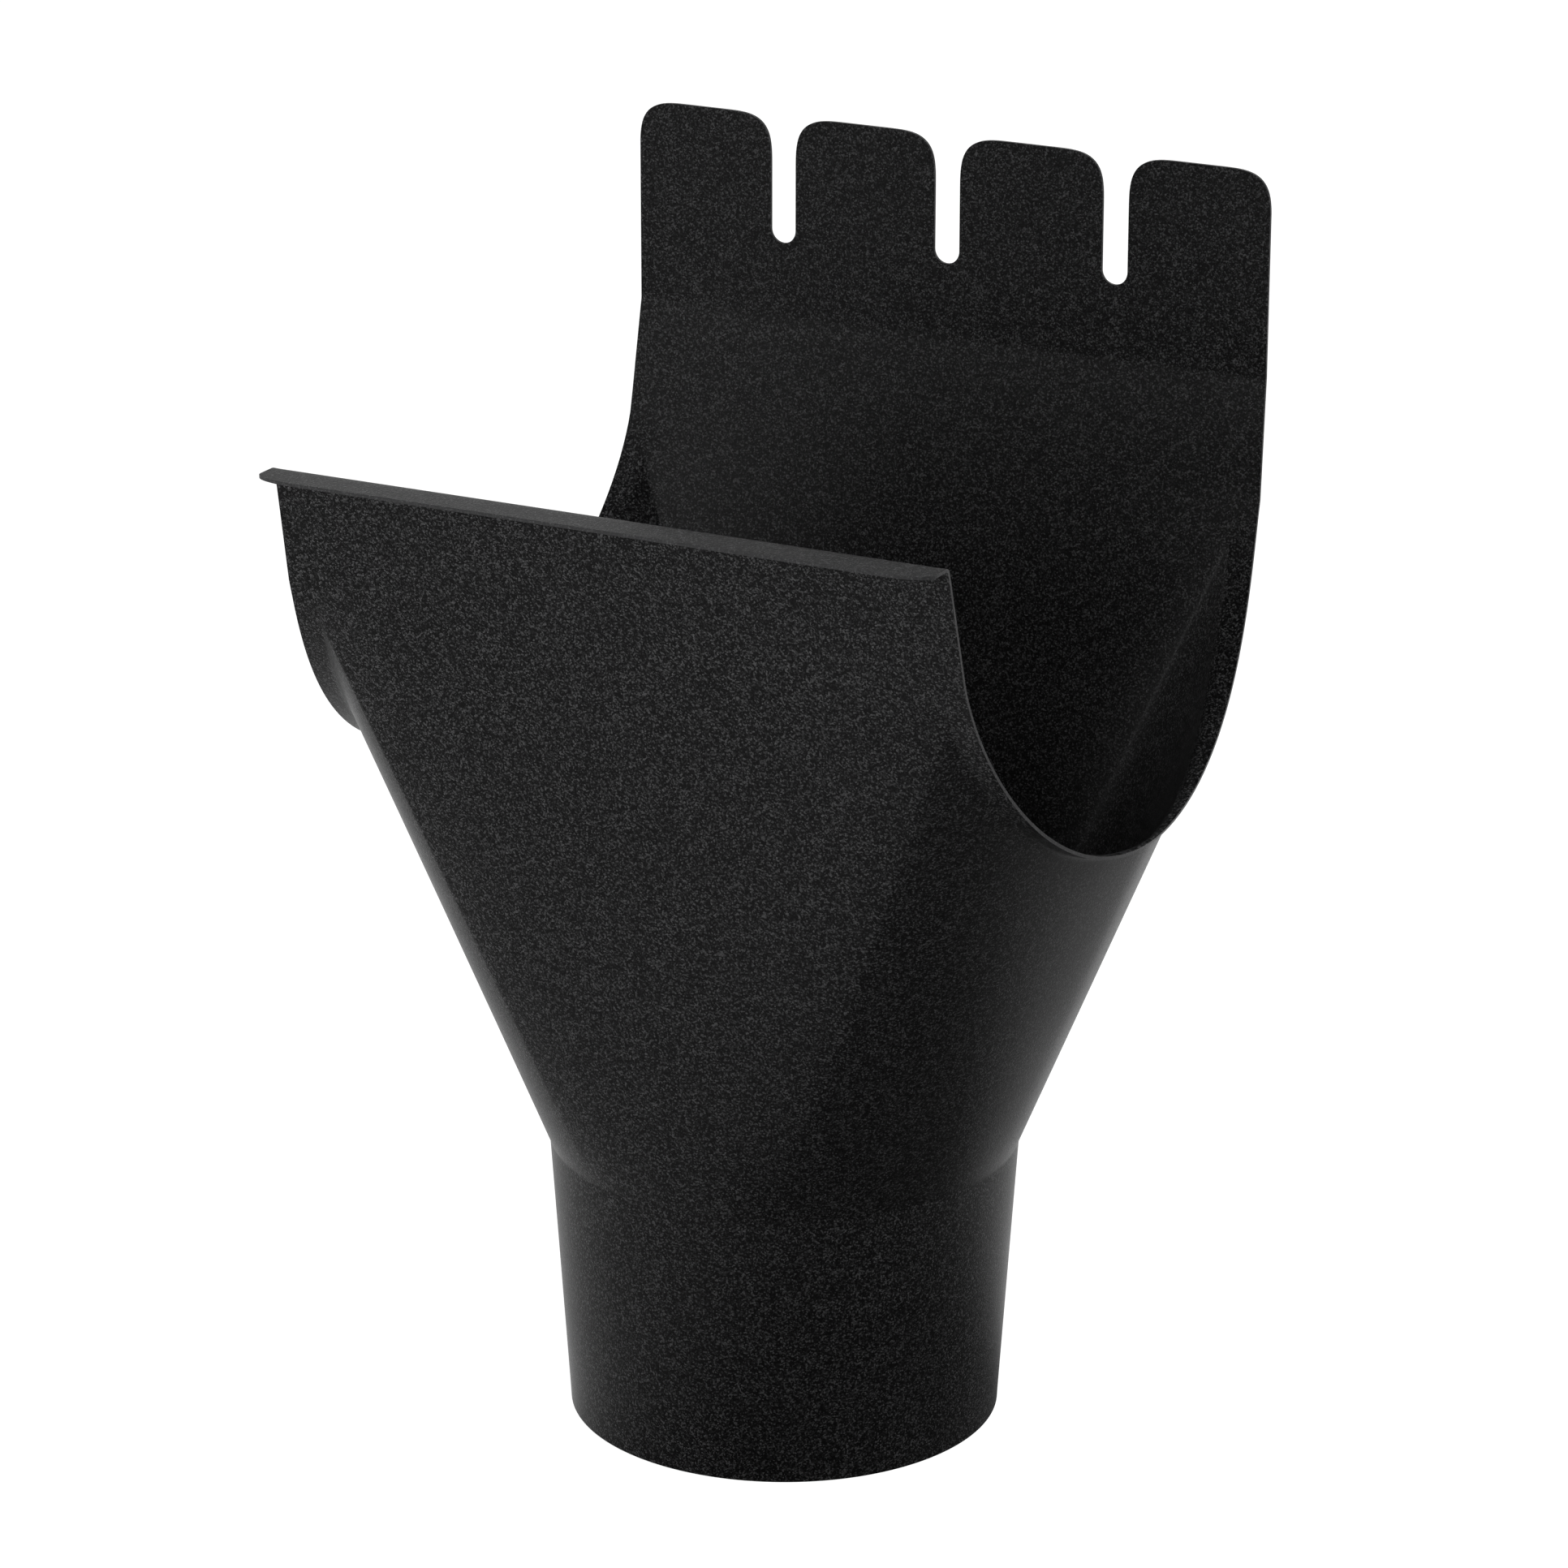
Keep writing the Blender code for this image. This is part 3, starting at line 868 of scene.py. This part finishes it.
def grains(bench, place):
    """The grain's height, from 0 in the valleys to 1 on the tops, and how light each grain is painted,
    which on the few light grains is a painted glint.
    """
    inputs = {"Vector": place, "Scale": 1.0 / GRAIN_SIZE}
    cells = bench.node("ShaderNodeTexVoronoi", {"feature": "F1"}, inputs, "Distance")
    chance = bench.node("ShaderNodeSeparateXYZ", {}, {0: cells.other_output("Color")})
    domes = 1.0 - spread(cells, DOME_TOP, DOME_FOOT)
    # The few light grains are painted glints.
    return domes * (LOWEST_DOME + (1.0 - LOWEST_DOME) * chance), chance ** PAINTED_GLINT_RARITY


# %% The coating's material
def bumped(bench, heights):
    """A normal from several heights, each with its depth in metres, laid over each other."""
    normal = None
    for height, depth in heights:
        inputs = {"Height": height, "Distance": depth, "Strength": 1.0}
        if normal is not None:
            inputs["Normal"] = normal
        normal = bench.node("ShaderNodeBump", {}, inputs, "Normal")
    return normal


def paint(material, roughness, grain_height, greys):
    """Coats a material, with its mean roughness and the greys of the darkest and the lightest grain; the
    light grains are painted glints.
    """
    bench = empty_bench(material)
    place = place_on_object(bench)
    grain, bright = grains(bench, place)
    wave = sheet_wave(bench, place)
    darkest, lightest = greys
    # Greys above the darkest are painted glints on a few grain tops.
    grey = darkest + (lightest - darkest) * bright
    heights = [(wave, SHEET_WAVE_HEIGHT), (grain, grain_height)]
    shine = {
        "Base Color": point(grey, grey, grey * PAINT_BLUENESS),
        "Roughness": roughness + GRAIN_IN_ROUGHNESS * (grain - 0.5) + WAVE_IN_ROUGHNESS * (wave - 0.5),
        "Specular IOR Level": PAINT_SPECULAR,
        "Normal": bumped(bench, heights),
    }
    shader = bench.node("ShaderNodeBsdfPrincipled", {}, shine)
    bench.add("ShaderNodeOutputMaterial", {}, {"Surface": shader})
    print(material.name, "has", len(material.node_tree.nodes), "nodes")


paint(coating, PAINT_ROUGHNESS, GRAIN_HEIGHT, PAINT_GREYS_AND_PAINTED_GLINTS)

# %% [markdown]
# ### The cut edges
#
# Where the sheet was cut, the coating is smoother than on the faces. Its lighter grey is a painted
# highlight, for the light that the rounded edges catch, and it draws a fine line round the tabs, the
# lip and the ends. It is the same paint with less grain.

# %% The coating on the edges
EDGE_ROUGHNESS = 0.32
EDGE_GRAIN_HEIGHT = 0.03 * MM
# The edges' lighter greys are a painted highlight.
EDGE_GREYS_PAINTED_HIGHLIGHT = (0.03, 0.06)
paint(edge_highlight_coating, EDGE_ROUGHNESS, EDGE_GRAIN_HEIGHT, EDGE_GREYS_PAINTED_HIGHLIGHT)

# %% [markdown]
# ## Floor, backdrop and light
#
# The product stands on a white sweep. The floor is white paper, lit like anything else, so it keeps the
# outlet's shadow. In the photograph it is overexposed, which a share of plain white does that only
# camera, mirror and glass rays see. Black paint shows what it mirrors: its rims are bright because the
# white floor and the white behind the outlet are seen in it at a grazing angle.
#
# Close beside the outlet, where its own shadow falls, the floor is less bright. Only the flank that
# leans over it mirrors that place, and it is the darkest face of the photograph. A round shade with a
# soft border holds the mirrored white back there.
#
# The sky is white behind the outlet and nearly dark elsewhere, as in a studio whose walls are dark. Two
# large soft panels stand low at the left and in front, and a third, high at the right, lights the far
# side of the spigot. The face leans over the floor and is lighter than the upright plate, so the floor
# in front throws light up, as a board on it does. A last panel fills the back. The paint mirrors
# neither the board nor the back panel, so that they leave no shine on the lip and the folds.

# %% The floor
WHITE = (1.0, 1.0, 1.0, 1.0)
FLOOR_SIZE = 12.0
FLOOR_COLOUR = (0.12, 0.12, 0.12, 1.0)
FLOOR_OVEREXPOSED = 0.98
SHADE_MIDDLE = (0.085, -0.04, 0.0)
SHADE_CORE = 0.07
SHADE_END = 0.14
SHADE_LEVEL = 0.1


def is_ray(bench, kind):
    """1 for rays of one kind, Camera, Glossy or Transmission, and 0 for all others."""
    return bench.node("ShaderNodeLightPath", {}, {}, f"Is {kind} Ray")


def seen_as_background(bench):
    """1 for camera and glass rays, and for mirror rays that meet the floor outside the outlet's shade."""
    away = place_on_object(bench) - SHADE_MIDDLE
    outside = eased(spread(root(away.dot(away)), SHADE_CORE, SHADE_END))
    level = SHADE_LEVEL + (1.0 - SHADE_LEVEL) * outside
    seen_straight = higher_of(is_ray(bench, "Camera"), is_ray(bench, "Transmission"))
    return higher_of(seen_straight, is_ray(bench, "Glossy") * level)


def floor_material():
    material = bpy.data.materials.new("white_floor")
    bench = empty_bench(material)
    paper = bench.node("ShaderNodeBsdfDiffuse", {}, {"Color": FLOOR_COLOUR})
    extra = {"Color": WHITE, "Strength": seen_as_background(bench) * FLOOR_OVEREXPOSED}
    white = bench.node("ShaderNodeEmission", {}, extra)
    mixed = bench.node("ShaderNodeAddShader", {}, {0: paper, 1: white})
    bench.add("ShaderNodeOutputMaterial", {}, {"Surface": mixed})
    return material


def add_floor():
    half = FLOOR_SIZE / 2
    mesh = bpy.data.meshes.new("floor")
    corners = [(-half, -half, 0.0), (half, -half, 0.0), (half, half, 0.0), (-half, half, 0.0)]
    mesh.from_pydata(corners, [], [(0, 1, 2, 3)])
    mesh.materials.append(floor_material())
    floor = bpy.data.objects.new("floor", mesh)
    bpy.context.scene.collection.objects.link(floor)


add_floor()

# %% The sky
SKY_BEHIND = 1.0
SKY_BEHIND_HEIGHT = math.radians(15.0)
SKY_FALL_OFF = 3.0
SKY_ELSEWHERE = 0.02


def add_sky():
    world = bpy.data.worlds.new("studio")
    bpy.context.scene.world = world
    bench = empty_bench(world)
    direction = bench.node("ShaderNodeTexCoord", {}, {}, "Generated")
    flat = math.cos(SKY_BEHIND_HEIGHT)
    rise = math.sin(SKY_BEHIND_HEIGHT)
    behind = (-math.sin(CAMERA_AZIMUTH) * flat, math.cos(CAMERA_AZIMUTH) * flat, rise)
    towards = spread(direction.dot(behind), 0.0, 1.0)
    level = SKY_ELSEWHERE + (SKY_BEHIND - SKY_ELSEWHERE) * towards ** SKY_FALL_OFF
    white = {"Color": WHITE, "Strength": higher_of(level, is_ray(bench, "Camera"))}
    sky = bench.node("ShaderNodeBackground", {}, white)
    bench.add("ShaderNodeOutputWorld", {}, {"Surface": sky})


add_sky()

# %% The soft panels
PANEL_DISTANCE = 2.0
PANEL_WIDTH = 0.8
PANEL_HEIGHT = 0.9
OUTLET_MIDDLE = 0.13
LEFT_PANEL = {"azimuth": math.radians(-60.0), "height_angle": math.radians(10.0), "power": 17.0}
FRONT_PANEL = {"azimuth": math.radians(-15.0), "height_angle": math.radians(10.0), "power": 16.0}
RIGHT_PANEL = {"azimuth": math.radians(100.0), "height_angle": math.radians(45.0), "power": 32.0}
BACK_PANEL = {"azimuth": math.radians(160.0), "height_angle": math.radians(30.0), "power": 20.0}
BOARD_SIZE = 0.65
BOARD_PLACE = (-0.12, -0.6, 0.002)
BOARD_POWER = 3.9


def add_soft_light(name, shape, power):
    """An area light, with its size and its place still to be given."""
    data = bpy.data.lights.new(name, "AREA")
    data.shape = shape
    data.energy = power
    light = bpy.data.objects.new(name, data)
    bpy.context.scene.collection.objects.link(light)
    return light


def add_panel(name, azimuth, height_angle, power):
    """A rectangular panel that faces the outlet's middle."""
    panel = add_soft_light(name, "RECTANGLE", power)
    panel.data.size = PANEL_WIDTH
    panel.data.size_y = PANEL_HEIGHT
    flat = PANEL_DISTANCE * math.cos(height_angle)
    rise = OUTLET_MIDDLE + PANEL_DISTANCE * math.sin(height_angle)
    panel.location = (flat * math.sin(azimuth), -flat * math.cos(azimuth), rise)
    panel.rotation_euler = (math.pi / 2 - height_angle, 0.0, azimuth)
    return panel


def add_board():
    """A round board on the floor in front, which throws light up and is not mirrored."""
    board = add_soft_light("floor_board", "DISK", BOARD_POWER)
    board.data.size = BOARD_SIZE
    board.location = BOARD_PLACE
    board.rotation_euler = (math.pi, 0.0, 0.0)
    board.visible_glossy = False
    board.visible_camera = False


add_panel("left_panel", **LEFT_PANEL)
add_panel("front_panel", **FRONT_PANEL)
add_panel("right_panel", **RIGHT_PANEL)
add_panel("back_panel", **BACK_PANEL).visible_glossy = False
add_board()
bpy.context.scene.view_settings.view_transform = "Standard"
